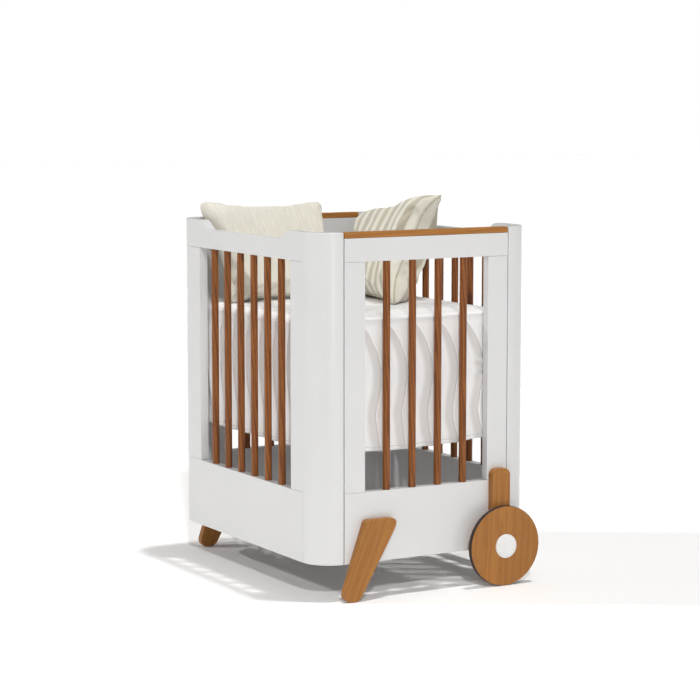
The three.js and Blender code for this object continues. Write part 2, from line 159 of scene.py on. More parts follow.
class Finish:
    """One procedural material: a Principled shader and the nodes that feed it."""

    def __init__(self, name, **values):
        self.material = bpy.data.materials.new(name)
        self.material.use_nodes = True
        self.tree = self.material.node_tree
        self.shader = self.tree.nodes["Principled BSDF"]
        for socket, value in values.items():
            self.shader.inputs[socket.replace("_", " ")].default_value = value

    def node(self, kind, *inputs, **settings):
        made = self.tree.nodes.new(kind)
        for key, value in settings.items():
            setattr(made, key, value)
        for i, value in enumerate(inputs):
            self.feed(made.inputs[i], value)
        return made

    def feed(self, socket, value):
        if isinstance(value, bpy.types.NodeSocket):
            self.tree.links.new(value, socket)
        elif value is not None:
            socket.default_value = value

    def math(self, operation, *values):
        return self.node("ShaderNodeMath", *values, operation=operation).outputs[0]

    def place(self, stretch=(1, 1, 1), turn=(0, 0, 0)):
        """Places on the piece itself, turned and then stretched."""
        spot = self.node("ShaderNodeTexCoord").outputs["Object"]
        if any(turn):
            spot = self.node("ShaderNodeMapping", spot, None, turn).outputs[0]
        return self.node("ShaderNodeMapping", spot, None, None, stretch).outputs[0]

    def noise(self, place, scale, detail=3.0, roughness=0.5, distortion=0.0):
        made = self.node("ShaderNodeTexNoise", place)
        made.inputs["Scale"].default_value = scale
        made.inputs["Detail"].default_value = detail
        made.inputs["Roughness"].default_value = roughness
        made.inputs["Distortion"].default_value = distortion
        return made.outputs["Fac"]

    def step(self, value, low, high):
        """0 at low, 1 at high, eased between. low may be the larger."""
        ends = (low, high, 0.0, 1.0)
        return self.node("ShaderNodeMapRange", value, *ends, interpolation_type="SMOOTHSTEP").outputs[0]

    def ramp(self, value, *stops):
        """stops: (place, grey or colour) pairs."""
        made = self.node("ShaderNodeValToRGB", value)
        elements = made.color_ramp.elements
        while len(elements) < len(stops):
            elements.new(0.5)
        for element, (where, shade) in zip(elements, stops):
            if isinstance(shade, (int, float)):
                shade = (shade, shade, shade)
            element.position = where
            element.color = (*shade, 1)
        return made.outputs[0]

    def mix(self, share, first, second):
        made = self.node("ShaderNodeMix", data_type="RGBA")
        self.feed(made.inputs["Factor"], share)
        for socket, value in (("A", first), ("B", second)):
            value = (*value, 1) if not isinstance(value, bpy.types.NodeSocket) else value
            self.feed([s for s in made.inputs if s.name == socket and s.type == "RGBA"][0], value)
        return [s for s in made.outputs if s.type == "RGBA"][0]

    def colour(self, value):
        self.feed(self.shader.inputs["Base Color"], value)

    def roughness(self, value, low, high):
        self.feed(self.shader.inputs["Roughness"], self.ramp(value, (0.25, low), (0.75, high)))

    def bump(self, *reliefs):
        """reliefs: (height socket, strength, depth in metres) from coarse to fine."""
        normal = None
        for height, strength, depth in reliefs:
            made = self.node("ShaderNodeBump")
            made.inputs["Strength"].default_value = strength
            made.inputs["Distance"].default_value = depth
            self.feed(made.inputs["Height"], height)
            self.feed(made.inputs["Normal"], normal)
            normal = made.outputs[0]
        self.feed(self.shader.inputs["Normal"], normal)


def shades(base, *factors):
    return [tuple(min(1.0, c * f) for c in base) for f in factors]


def satin_paint(name, tint):
    """Sprayed satin paint: a faint orange peel, brushed a little unevenly."""
    made = Finish(name, Roughness=0.4, Coat_Weight=0.5, Coat_Roughness=0.12)
    place = made.place()
    cloudy = made.noise(place, 3.5, 3)
    dark, light = shades(tint, 0.975, 1.015)
    made.colour(made.ramp(cloudy, (0.3, dark), (0.7, light)))
    peel = made.noise(place, 420, 2)
    made.roughness(made.noise(place, 30, 4), 0.34, 0.44)
    made.bump((made.noise(place, 45, 2), 0.05, 0.0006), (peel, 0.08, 0.00015))
    return made.material


def lacquered_wood(name, ground, grain, turn=(0, 0, 0), fine=1.0, contrast=0.4):
    """Straight-grained wood. The grain runs along the turned Z axis."""
    made = Finish(name, Roughness=0.42, Specular_IOR_Level=0.3, Coat_Weight=0.12, Coat_Roughness=0.3)
    long_place = made.place((1, 1, 0.07), turn)
    drift = made.noise(long_place, 9 * fine, 2, 0.5)
    rings = made.node("ShaderNodeTexWave", long_place, wave_type="BANDS", bands_direction="DIAGONAL")
    rings.inputs["Scale"].default_value = 26 * fine
    rings.inputs["Distortion"].default_value = 7
    rings.inputs["Detail"].default_value = 3
    rings.inputs["Detail Scale"].default_value = 1.4
    fibre_place = made.place((1, 1, 0.018), turn)
    fibre = made.noise(fibre_place, 520 * fine, 4, 0.65)
    pore_place = made.place((1, 1, 0.045), turn)
    pores = made.ramp(made.noise(pore_place, 900 * fine, 2, 0.5), (0.58, 0), (0.7, 1))
    darker, lighter = shades(ground, 0.88, 1.12)
    body = made.ramp(drift, (0.3, darker), (0.7, lighter))
    lined = made.mix(made.ramp(rings.outputs["Fac"], (0.35, 0), (0.9, contrast)), body, grain)
    fibred = made.mix(made.ramp(fibre, (0.35, 0), (0.75, 0.45)), lined, grain)
    made.colour(made.mix(made.math("MULTIPLY", pores, 0.5), fibred, shades(grain, 0.6)[0]))
    made.roughness(fibre, 0.36, 0.5)
    made.bump((rings.outputs["Fac"], 0.08, 0.0003), (fibre, 0.22, 0.0002), (pores, 0.2, -0.00025))
    return made.material


def rubber_band(name, tint):
    """Matt rubber with fine moulding grain and a little dust."""
    made = Finish(name, Roughness=0.75)
    place = made.place()
    dust = made.noise(place, 60, 5, 0.6)
    made.colour(made.ramp(dust, (0.45, tint), (0.85, shades(tint, 3.2)[0])))
    made.roughness(dust, 0.62, 0.85)
    made.bump((made.noise(place, 700, 2), 0.3, 0.0002),)
    return made.material


def moulded_plastic(name, tint):
    made = Finish(name, Roughness=0.3, Coat_Weight=0.2)
    place = made.place()
    soft = made.noise(place, 25, 3)
    made.colour(made.ramp(soft, (0.3, shades(tint, 0.97)[0]), (0.7, tint)))
    made.roughness(made.noise(place, 120, 3), 0.24, 0.36)
    made.bump((made.noise(place, 800, 1), 0.08, 0.0001),)
    return made.material


def plated_steel(name, tint):
    """Zinc-plated steel, brushed along X and a little cloudy."""
    made = Finish(name, Metallic=1.0, Roughness=0.35)
    brush = made.noise(made.place((0.04, 1, 1)), 900, 3, 0.6)
    cloud = made.noise(made.place(), 55, 4)
    made.colour(made.ramp(cloud, (0.3, shades(tint, 0.82)[0]), (0.75, tint)))
    made.roughness(cloud, 0.28, 0.46)
    made.bump((brush, 0.18, 0.00012),)
    return made.material


def weave(made, place, threads):
    """Height of a plain weave: warp and weft lines, with uneven threads. threads: in a metre."""
    split = made.node("ShaderNodeSeparateXYZ", place)
    turns = threads * math.tau / 2
    warp = made.math("SINE", made.math("MULTIPLY", split.outputs[0], turns))
    weft = made.math("SINE", made.math("MULTIPLY", split.outputs[1], turns))
    crossing = made.math("MULTIPLY", warp, weft)
    uneven = made.noise(place, threads * 0.35, 3, 0.6)
    return made.math("ADD", made.math("MULTIPLY", crossing, 0.35), uneven)


def cloth_place(made):
    """Metres along the cloth, from its own map."""
    return made.node("ShaderNodeUVMap", uv_map="cloth").outputs[0]


def stretched(made, place, along):
    """Places shortened along the second axis, so that a texture is drawn out in that direction."""
    return made.node("ShaderNodeMapping", place, None, None, (1, along, 1)).outputs[0]


def fold_shaded_cotton(name, ground, fold_shade_colour, drop):
    """Silky white cotton: painted shade beside each fold's ridge and along it, pressed lines and a
    stitched hem.
    """
    made = Finish(name, Roughness=0.5, Sheen_Weight=0.35, Sheen_Roughness=0.4)
    place = cloth_place(made)
    folds = made.node("ShaderNodeSeparateXYZ", made.node("ShaderNodeUVMap", uv_map="folds").outputs[0])
    wander = made.math("MULTIPLY", made.math("SUBTRACT", made.noise(place, 14, 2), 0.5), 0.12)
    phase = made.math("FRACT", made.math("ADD", folds.outputs[0], wander))
    down = folds.outputs[1]
    on_side = made.node("ShaderNodeAttribute", attribute_name="long_side").outputs["Fac"]
    widening = made.math("MULTIPLY", made.step(down, -0.03, 0.03), 1 - VALLEY)
    shade_edge = made.math("SUBTRACT", 1.0, widening)
    # Painted shade: on the ends the steep face up to each ridge is grey; on the long sides the gentle face
    # after it is faintly grey.
    end_fold_shade = made.math("MULTIPLY", made.step(phase, shade_edge, made.math("ADD", shade_edge, 0.2)),
                         made.step(phase, 1.0, 0.985))
    side_fold_shade = made.math("MULTIPLY", made.step(phase, 0.95, 0.8), made.step(down, -0.02, 0.01))
    side_fold_shade = made.math("MULTIPLY", side_fold_shade, 0.12)
    swap = made.math("MULTIPLY", on_side, made.math("SUBTRACT", side_fold_shade, end_fold_shade))
    share = made.math("ADD", end_fold_shade, swap)
    # Painted shade: a thin dark line along each fold's ridge, where the crease lies in shade.
    crease = made.math("MULTIPLY", made.step(phase, 0.955, 0.985), made.step(down, 0.01, 0.05))
    lines = made.math("FRACT", made.math("DIVIDE", down, TOP_LINES))
    off_line = made.math("ABSOLUTE", made.math("SUBTRACT", lines, 0.5))
    pressed = made.math("MULTIPLY", made.step(off_line, 0.05, 0.02), made.step(down, -0.02, -0.03))
    off_hem = made.math("ABSOLUTE", made.math("SUBTRACT", down, drop - HEM_SEAM))
    hem = made.step(off_hem, 0.0014, 0.0006)
    ridge_shade_and_lines = made.math("MAXIMUM", made.math("MAXIMUM", crease, pressed), hem)
    slub = made.noise(stretched(made, place, 0.05), 900, 3)
    dull, bright = shades(ground, 0.97, 1.02)
    plain = made.ramp(slub, (0.3, dull), (0.7, bright))
    dark, light = shades(fold_shade_colour, 0.95, 1.04)
    fold_shade_tone = made.ramp(slub, (0.3, dark), (0.7, light))
    # Mixes in the painted fold shade.
    body = made.mix(share, plain, fold_shade_tone)
    # Darkens the painted ridge shade, the pressed lines and the hem's stitches.
    made.colour(made.mix(made.math("MULTIPLY", ridge_shade_and_lines, 0.5), body, shades(fold_shade_colour, 0.62)[0]))
    made.roughness(slub, 0.44, 0.6)
    made.bump((ridge_shade_and_lines, 0.25, -0.0008), (weave(made, place, COTTON_THREADS), 0.18, 0.0003))
    return made.material


def ticking(name, tint):
    """Quilted mattress cover: small stitched diamonds in plain cloth, with painted shade in the stitched
    hollows.
    """
    made = Finish(name, Roughness=0.85, Sheen_Weight=0.2)
    place = made.place((1, 1, 1), (0, 0, math.radians(45)))
    split = made.node("ShaderNodeSeparateXYZ", place)
    waves = [made.math("ABSOLUTE", made.math("SINE", made.math("MULTIPLY", split.outputs[i], 52.0)))
             for i in (0, 1)]
    puff = made.math("POWER", made.math("MULTIPLY", *waves), 0.45)
    # Painted shade: darker in the hollows along the stitches, where the puffs are low.
    made.colour(made.ramp(puff, (0.0, shades(tint, 0.8)[0]), (0.25, tint)))
    made.bump((puff, 0.7, 0.004), (weave(made, made.place(), COTTON_THREADS), 0.2, 0.0003))
    return made.material


def brushed_linen(name, tint):
    """Cream linen with faint paler strokes."""
    made = Finish(name, Roughness=0.88, Sheen_Weight=0.3, Sheen_Roughness=0.5)
    place = cloth_place(made)
    stroke_place = made.node("ShaderNodeMapping", place, None, (0, 0, math.radians(-58)), (1, 0.1, 1))
    stroke = made.noise(stroke_place.outputs[0], 130, 4, 0.6, 0.4)
    slub = made.noise(stretched(made, place, 0.04), 700, 3)
    dark, light = shades(tint, 0.93, 1.04)
    ground = made.ramp(slub, (0.3, dark), (0.7, light))
    made.colour(made.mix(made.ramp(stroke, (0.5, 0), (0.7, 0.6)), ground, shades(tint, 1.22)[0]))
    made.bump((weave(made, place, LINEN_THREADS), 0.45, 0.0007),)
    return made.material


def striped_linen(name, ground, stripe, pitch):
    """Cream linen with soft-edged beige stripes of changing width."""
    made = Finish(name, Roughness=0.88, Sheen_Weight=0.3, Sheen_Roughness=0.5)
    place = cloth_place(made)
    across = made.node("ShaderNodeSeparateXYZ", place).outputs[0]
    ragged = made.noise(stretched(made, place, 0.25), 90, 4, 0.7)
    shifted = made.math("ADD", across, made.math("MULTIPLY", ragged, 0.006))
    wave = made.math("SINE", made.math("MULTIPLY", shifted, math.tau / pitch))
    second = made.math("SINE", made.math("MULTIPLY", shifted, math.tau / pitch * 0.37))
    mixed = made.math("ADD", made.math("MULTIPLY", wave, 0.5), made.math("MULTIPLY", second, 0.1))
    share = made.ramp(made.math("ADD", mixed, 0.5), (0.34, 0), (0.6, 0.9))
    slub = made.noise(stretched(made, place, 0.04), 700, 3)
    dark, light = shades(ground, 0.93, 1.04)
    cream = made.ramp(slub, (0.3, dark), (0.7, light))
    low, high = shades(stripe, 0.85, 1.1)
    beige = made.ramp(slub, (0.3, low), (0.7, high))
    made.colour(made.mix(share, cream, beige))
    made.bump((weave(made, place, LINEN_THREADS), 0.45, 0.0007),)
    return made.material


def plain_floor(name):
    made = Finish(name, Roughness=0.9, Specular_IOR_Level=0.1)
    cloudy = made.noise(made.place(), 0.8, 2)
    made.colour(made.ramp(cloudy, (0.3, (0.97, 0.96, 0.95)), (0.7, (0.98, 0.97, 0.96))))
    return made.material


# ---------- small mesh tools ----------


def smooth_faces_group():
    """Geometry nodes that shade every face smooth, so that the next modifier can set the normals."""
    name = "smooth_faces"
    if name in bpy.data.node_groups:
        return bpy.data.node_groups[name]
    group = bpy.data.node_groups.new(name, "GeometryNodeTree")
    group.interface.new_socket("Geometry", in_out="INPUT", socket_type="NodeSocketGeometry")
    group.interface.new_socket("Geometry", in_out="OUTPUT", socket_type="NodeSocketGeometry")
    start = group.nodes.new("NodeGroupInput")
    shade = group.nodes.new("GeometryNodeSetShadeSmooth")
    end = group.nodes.new("NodeGroupOutput")
    group.links.new(start.outputs[0], shade.inputs["Geometry"])
    group.links.new(shade.outputs[0], end.inputs[0])
    return group


def ease_edges(piece, width, segments=3):
    """Rounds a CAD node's edges and shades its curves smooth, without touching its mesh."""
    weld = piece.modifiers.new("weld", "WELD")
    weld.merge_threshold = 2e-5
    flat = piece.modifiers.new("flat_faces", "DECIMATE")
    flat.decimate_type = "DISSOLVE"
    flat.angle_limit = math.radians(0.5)
    bevel = piece.modifiers.new("eased_edges", "BEVEL")
    bevel.width = width
    bevel.segments = segments
    bevel.limit_method = "ANGLE"
    bevel.angle_limit = math.radians(38)
    bevel.use_clamp_overlap = True
    piece.modifiers.new("smooth", "NODES").node_group = smooth_faces_group()
    normals = piece.modifiers.new("normals", "WEIGHTED_NORMAL")
    normals.keep_sharp = True


def dress(names, material, edge=0.0, segments=3):
    """Gives CAD nodes a finish, and eases their edges."""
    for name in names:
        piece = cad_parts[name]
        piece.data.materials.clear()
        piece.data.materials.append(material)
        if edge:
            ease_edges(piece, edge, segments)


def new_piece(name, verts, faces, material, uvs=None, body=None):
    """A smooth-shaded mesh object. uvs: metres on the cloth for each vertex."""
    mesh = bpy.data.meshes.new(name)
    mesh.from_pydata(verts, [], faces)
    if uvs:
        layer = mesh.uv_layers.new(name="cloth")
        for loop in mesh.loops:
            layer.data[loop.index].uv = uvs[loop.vertex_index]
    mesh.shade_smooth()
    mesh.materials.append(material)
    piece = bpy.data.objects.new(name, mesh)
    bpy.context.scene.collection.objects.link(piece)
    if body:
        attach(piece, body)
    return piece


def cord_along(name, points, radius, material, body, sides=8):
    """A round cord round a closed line of points."""
    count = len(points)
    verts, faces = [], []
    up = Vector((0, 0, 1))
    for i, point in enumerate(points):
        ahead = (points[(i + 1) % count] - points[i - 1]).normalized()
        first = ahead.cross(up if abs(ahead.z) < 0.9 else Vector((1, 0, 0))).normalized()
        second = ahead.cross(first)
        for k in range(sides):
            turn = math.tau * k / sides
            verts.append(point + radius * (math.cos(turn) * first + math.sin(turn) * second))
    for i in range(count):
        j = (i + 1) % count
        for k in range(sides):
            m = (k + 1) % sides
            faces.append((i * sides + k, i * sides + m, j * sides + m, j * sides + k))
    return new_piece(name, verts, faces, material, body=body)


def rounded_outline(half_x, half_y, radius, step):
    """Points round a rounded rectangle: (x, y, outward x, outward y, metres along)."""
    corners = [(1, 1, 0), (-1, 1, 90), (-1, -1, 180), (1, -1, 270)]
    found = []
    along = 0.0
    arc = radius * math.pi / 2
    arc_cells = max(6, round(arc / step))
    for index, (sx, sy, start) in enumerate(corners):
        centre = Vector((sx * (half_x - radius), sy * (half_y - radius)))
        for i in range(arc_cells):
            turn = math.radians(start + 90 * i / arc_cells)
            out = Vector((math.cos(turn), math.sin(turn)))
            found.append((*(centre + radius * out), *out, along + arc * i / arc_cells))
        along += arc
        run = 2 * (half_x - radius) if index % 2 == 0 else 2 * (half_y - radius)
        turn = math.radians(start + 90)
        out = Vector((math.cos(turn), math.sin(turn)))
        ahead = Vector((-out.y, out.x))
        begin = centre + radius * out
        cells = max(4, round(run / step))
        for i in range(cells):
            found.append((*(begin + ahead * run * i / cells), *out, along + run * i / cells))
        along += run
    return found, along


def ease(x):
    x = min(1.0, max(0.0, x))
    return x * x * (3 - 2 * x)


# ---------- bed drape ----------

SHOULDER = 0.026                  # rounding of the bed's edge
BED_CORNER = 0.048                # rounding of the drape in plan
TOP_SINK = 0.0035                 # the cloth's flat top lies this far below the frame's
VALLEY = 0.62                     # share of a fold's pitch from its ridge to its valley
TOP_LINES = 0.048                 # distance between the pressed lines on the top
GATHER = Vector((0.215, 0.132))   # middle of the wrinkles on the foot end: along Y, and down
GATHER_RAYS = 7
CLEAR_OF_ENDS = 0.0015            # the skirt stays this far from the ends' inner faces
HEM_SEAM = 0.011                  # height of the hem's stitches over its edge
HEM_SHORT = 0.007                 # the hem ends this far above the frame's drape
SLIT_SPACE = 0.005                # beside a base bracket
SLIT_HEIGHT = 0.006               # above a base bracket


def fold_drift(down, on_side):
    """Sideways drift of the ridges, as a share of the pitch. on_side: 0 on an end, 1 on a long side."""
    start = 0.67 * math.exp(-max(down + 0.014, 0) / 0.03)
    along_end = 0.1 * math.sin(math.tau * down / 0.23 - 2.0) - start + 0.2
    along_side = 0.72 * ((down - 0.08) / 0.23) ** 2 + start
    return along_end + (along_side - along_end) * on_side


def fold_height(phase):
    """Height across one fold, from 0 in its valley to 1 on its sharp ridge."""
    place = phase % 1
    if place < VALLEY:
        return (1 - place / VALLEY) ** 1.4
    return ((place - VALLEY) / (1 - VALLEY)) ** 1.6


def gather_relief(y, down):
    """Small wrinkles that fan out from one point."""
    reach = Vector((y, down)) - GATHER
    far = reach.length
    ray = math.sin(GATHER_RAYS * math.atan2(reach.y, reach.x))
    return ray * math.exp(-((far / 0.055) ** 2)) * ease(far / 0.02)


def skirt_relief(phase, along, down, drop, depth):
    """How far the skirt stands out: wavy folds, soft billows and an even hem."""
    billow = noise.noise(Vector((along * 3.1, down * 4.0, 2.0)))
    fold = (fold_height(phase) - 0.45) * ease(down / 0.07)
    hem = -0.12 * math.exp(-(((drop - down - HEM_SEAM) / 0.0025) ** 2))
    return depth * (fold + 0.5 * billow * down / drop + hem)


def hem_lift(x, y):
    """The hem hangs a little lower in the middle of the foot end and is drawn up at its back corner."""
    on_foot_end = ease((x - 0.32) / 0.06)
    drawn_up = 0.013 * ease((y - 0.1) / 0.15)
    sagging = 0.006 * (1 - ease(abs(y + 0.07) / 0.2))
    return (drawn_up - sagging) * on_foot_end


def top_relief(x, y, inset):
    """A shallow crown, with pressed lines along the edges and slight creases."""
    crown = 0.0025 * ease(inset / 0.16)
    line = math.exp(-((((inset + SHOULDER) % TOP_LINES - 0.5 * TOP_LINES) / 0.0035) ** 2))
    crease = noise.noise(Vector((x * 5, y * 9, 7.0))) + 0.4 * noise.noise(Vector((x * 17, y * 11, 1.0)))
    return crown - 0.0012 * line + 0.0011 * crease * ease(inset / 0.05) - TOP_SINK


class DrapeRows:
    """The drape's mesh as rings of points, from the middle of the top down to the hem."""

    def __init__(self, pitch, depth):
        self.outline, around = rounded_outline(DRAPE_HIGH.x, DRAPE_HIGH.y, BED_CORNER, 0.005)
        self.pitch = around / round(around / pitch)
        self.depth = depth
        self.shoulder_top = DRAPE_HIGH.z - TOP_SINK - SHOULDER
        self.drop = DRAPE_HIGH.z - SHOULDER - DRAPE_LOW.z
        self.verts, self.cloth, self.folds = [], [], []

    def add(self, place, along, down, on_side):
        self.verts.append(place)
        self.cloth.append((along, down))
        self.folds.append((along / self.pitch - fold_drift(down, on_side), down))

    def top_ring(self, inset):
        reach = DRAPE_HIGH.y - SHOULDER
        for x, y, out_x, out_y, along in self.outline:
            edge_x, edge_y = x - out_x * SHOULDER, y - out_y * SHOULDER
            share = 1 - inset / reach
            if abs(edge_x) < reach:
                flat_x = edge_x * share
            else:
                flat_x = math.copysign(abs(edge_x) - inset, edge_x)
            flat_y = edge_y * share
            z = DRAPE_HIGH.z + top_relief(flat_x, flat_y, inset)
            self.add((flat_x, flat_y, z), along, -inset - SHOULDER, out_y * out_y)

    def shoulder_ring(self, share):
        turn = share * math.pi / 2
        back = SHOULDER * (1 - math.sin(turn))
        z = self.shoulder_top + SHOULDER * math.cos(turn)
        down = SHOULDER * (share - 1)
        for x, y, out_x, out_y, along in self.outline:
            self.add((x - out_x * back, y - out_y * back, z), along, down, out_y * out_y)

    def skirt_ring(self, down):
        for x, y, out_x, out_y, along in self.outline:
            phase = along / self.pitch - fold_drift(down, out_y * out_y)
            straight = 1 - 0.5 * min(1.0, 2.5 * min(abs(out_x), abs(out_y))) - 0.3 * out_y ** 8
            out = skirt_relief(phase, along, down, self.drop, self.depth * straight)
            if out_x > 0.99:
                out += 0.7 * self.depth * gather_relief(y, down)
            out = min(out, END_FACE - DRAPE_HIGH.x - CLEAR_OF_ENDS)
            hem = DRAPE_LOW.z + HEM_SHORT + hem_lift(x, y)
            z = self.shoulder_top - down * (self.shoulder_top - hem) / self.drop
            self.add((x + out_x * out, y + out_y * out, z), along, down, out_y * out_y)

    def faces(self):
        """Squares between the rings, less a slit for each base bracket."""
        bracket_low, bracket_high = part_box("base_bracket_foot_back")
        slit_y = (bracket_low.y + bracket_high.y) / 2
        slit_half = (bracket_high.y - bracket_low.y) / 2 + SLIT_SPACE
        slit_top = bracket_high.z + SLIT_HEIGHT
        slit_x = DRAPE_HIGH.x - 0.02
        columns = len(self.outline)
        found = [tuple(range(columns))]
        for start in range(0, len(self.verts) - columns, columns):
            for i in range(columns):
                j = (i + 1) % columns
                square = (start + i, start + columns + i, start + columns + j, start + j)
                x, y, z = (sum(self.verts[k][axis] for k in square) / 4 for axis in range(3))
                beside_bracket = abs(x) > slit_x and abs(abs(y) - slit_y) < slit_half
                if not (beside_bracket and z < slit_top):
                    found.append(square)
        return found

    def seam_uvs(self, uvs, period):
        """Loop coordinates: the last column runs on instead of jumping back to the start."""
        columns = len(self.outline)

        def at(polygon):
            first = [k % columns for k in polygon]
            wraps = columns - 1 in first and 0 in first and len(polygon) == 4
            extra = [period if wraps and column == 0 else 0 for column in first]
            return [(uvs[k][0] + more, uvs[k][1]) for k, more in zip(polygon, extra)]

        return at


# Rings of the flat top, as distances in from the shoulder. They are closer together at the pressed lines.
TOP_INSETS = (
    0.265, 0.24, 0.215, 0.19, 0.165, 0.142, 0.137, 0.132, 0.118, 0.102, 0.094,
    0.089, 0.084, 0.07, 0.055, 0.046, 0.041, 0.036, 0.024, 0.012, 0.004, 0.0,
)
SHOULDER_LEVELS = 7
SKIRT_LEVELS = 52


class CRIB_OT_bed_drape(bpy.types.Operator):
    """Makes the fitted drape with its long folded skirt."""

    bl_idname = "crib.bed_drape"
    bl_label = "Bed drape"

    def execute(self, context):
        sizes, finishes = context.scene.crib_sizes, context.scene.crib_finishes
        rows = DrapeRows(sizes.fold_pitch, sizes.fold_depth)
        for inset in TOP_INSETS:
            rows.top_ring(inset)
        for level in range(1, SHOULDER_LEVELS):
            rows.shoulder_ring(level / SHOULDER_LEVELS)
        for level in range(SKIRT_LEVELS + 1):
            rows.skirt_ring(rows.drop * level / SKIRT_LEVELS)
        cotton = fold_shaded_cotton("fold_shaded_cotton", finishes.cotton, finishes.drape_fold_shade, rows.drop)
        drape = new_piece(
            "bed_drape_cloth", rows.verts, rows.faces(), cotton, body="bedding"
        )
        around = rows.pitch * round(rows.outline[-1][4] / rows.pitch)
        maps = (("cloth", rows.cloth, around), ("folds", rows.folds, around / rows.pitch))
        for name, uvs, period in maps:
            layer = drape.data.uv_layers.new(name=name)
            at = rows.seam_uvs(uvs, period)
            for polygon in drape.data.polygons:
                for loop, uv in zip(polygon.loop_indices, at(polygon.vertices)):
                    layer.data[loop].uv = uv
        side = drape.data.attributes.new("long_side", "FLOAT", "POINT")
        on_side = [out_y * out_y for *_, out_y, _ in rows.outline]
        for i, point in enumerate(side.data):
            point.value = on_side[i % len(on_side)]
        cloth = drape.modifiers.new("cloth", "SOLIDIFY")
        cloth.thickness = sizes.cloth
        cloth.offset = -1
        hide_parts("bed_drape")
        return {"FINISHED"}


# ---------- mattress ----------

PAD_EDGE = 0.018                  # rounding of the pad's edges
PAD_CORNER = 0.04                 # rounding of the pad in plan
PAD_SPACE = 0.003                 # between the pad's sides and the frame's mattress
PAD_SINK = 0.004                  # the pad's top lies this far below the frame's mattress
PAD_BULGE = 0.002                 # how far the pad's sides stand out halfway up
PAD_CELL = 0.012


class CRIB_OT_mattress(bpy.types.Operator):
    """Makes the mattress with its quilted cover and two piped edges."""

    bl_idname = "crib.mattress"
    bl_label = "Mattress"

    def execute(self, context):
        sizes, finishes = context.scene.crib_sizes, context.scene.crib_finishes
        cover = ticking("quilted_ticking", finishes.ticking)
        low, high = MATTRESS_LOW.z, MATTRESS_HIGH.z - PAD_SINK
        half_x, half_y = MATTRESS_HIGH.x - PAD_SPACE, MATTRESS_HIGH.y - PAD_SPACE
        outline, _ = rounded_outline(half_x, half_y, PAD_CORNER, PAD_CELL)
        count = len(outline)
        profile = [(0.14, 0.0), (0.06, 0.0), (0.02, 0.001)]
        for turn in (math.radians(15 * k) for k in range(1, 7)):
            profile.append((PAD_EDGE * (1 - math.sin(turn)), PAD_EDGE * (1 - math.cos(turn))))
        levels = [(inset, high - drop) for inset, drop in profile]
        levels += [(-PAD_BULGE, (low + high) / 2)]
        levels += [(inset, low + drop) for inset, drop in reversed(profile)]
        verts, faces = [], []
        for inset, z in levels:
            for x, y, out_x, out_y, _ in outline:
                verts.append((x - out_x * inset, y - out_y * inset, z))
        faces.append(tuple(range(count)))
        last = (len(levels) - 1) * count
        for start in range(0, last, count):
            for i in range(count):
                j = (i + 1) % count
                faces.append((start + i, start + count + i, start + count + j, start + j))
        faces.append(tuple(reversed(range(last, last + count))))
        pad = new_piece("mattress_pad", verts, faces, cover, body="bedding")
        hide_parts("mattress")
        seams = (("mattress_piping_top", high - PAD_EDGE), ("mattress_piping_bottom", low + PAD_EDGE))
        for name, z in seams:
            ring = [Vector((x, y, z)) for x, y, *_ in outline]
            cord_along(name, ring, sizes.pipe * 0.9, cover, "bedding", 6)
        return {"FINISHED"}


# ---------- pillows ----------

PULL_IN = 0.06                    # how far a side pulls in between its corners
BLUNT = 0.065                     # how far the corners are drawn back
COVER_CELLS = 64
SEWN_DEPTH = 0.046                # from the seam to the middle of a cloth, before the filling
FILL_PRESSURE = 3.5
FILL_FRAMES = 20
FILL_REACH = 0.02                 # the filling moves no point farther than this
WRINKLE_DEPTH = 0.0048
STRIPE_PITCH = 0.042              # distance between the striped pillow's stripes


def fan(place, centre, rays, reach):
    """Small wrinkles that fan out from one point of a flat cloth."""
    away = Vector(place) - Vector(centre)
    ray = math.sin(rays * math.atan2(away.y, away.x))
    return ray * math.exp(-((away.length / reach) ** 2)) * ease(away.length / (0.35 * reach))


def sewn_cover(name, width, height, cells, depth, material):
    """Two cloths sewn round the edge, filled a little, in the XY plane. Gives the seam's vertices too."""
    verts, uvs, faces, index = [], [], [], {}
    for face in (1, -1):
        for i in range(cells + 1):
            for j in range(cells + 1):
                if face < 0 and (i in (0, cells) or j in (0, cells)):
                    index[(face, i, j)] = index[(1, i, j)]
                    continue
                s, t = (math.sin(math.pi / 2 * (2 * k / cells - 1) * 0.96) / math.sin(math.pi / 2 * 0.96)
                        for k in (i, j))
                drawn = 1 - BLUNT * (s * t) ** 6
                x = s * (1 - PULL_IN * (1 - t * t)) * drawn * width / 2
                y = t * (1 - PULL_IN * (1 - s * s)) * drawn * height / 2
                swell = face * depth * (max(0.0, 1 - s * s) * max(0.0, 1 - t * t)) ** 0.42
                index[(face, i, j)] = len(verts)
                verts.append((x, y, swell))
                uvs.append((x + width / 2, y + height / 2))
    for face in (1, -1):
        for i in range(cells):
            for j in range(cells):
                square = [index[(face, i + a, j + b)] for a, b in ((0, 0), (1, 0), (1, 1), (0, 1))]
                faces.append(tuple(square if face > 0 else reversed(square)))
    seam = [index[(1, i, 0)] for i in range(cells)]
    seam += [index[(1, cells, j)] for j in range(cells)]
    seam += [index[(1, i, cells)] for i in range(cells, 0, -1)]
    seam += [index[(1, 0, j)] for j in range(cells, 0, -1)]
    return new_piece(name, verts, faces, material, uvs), seam


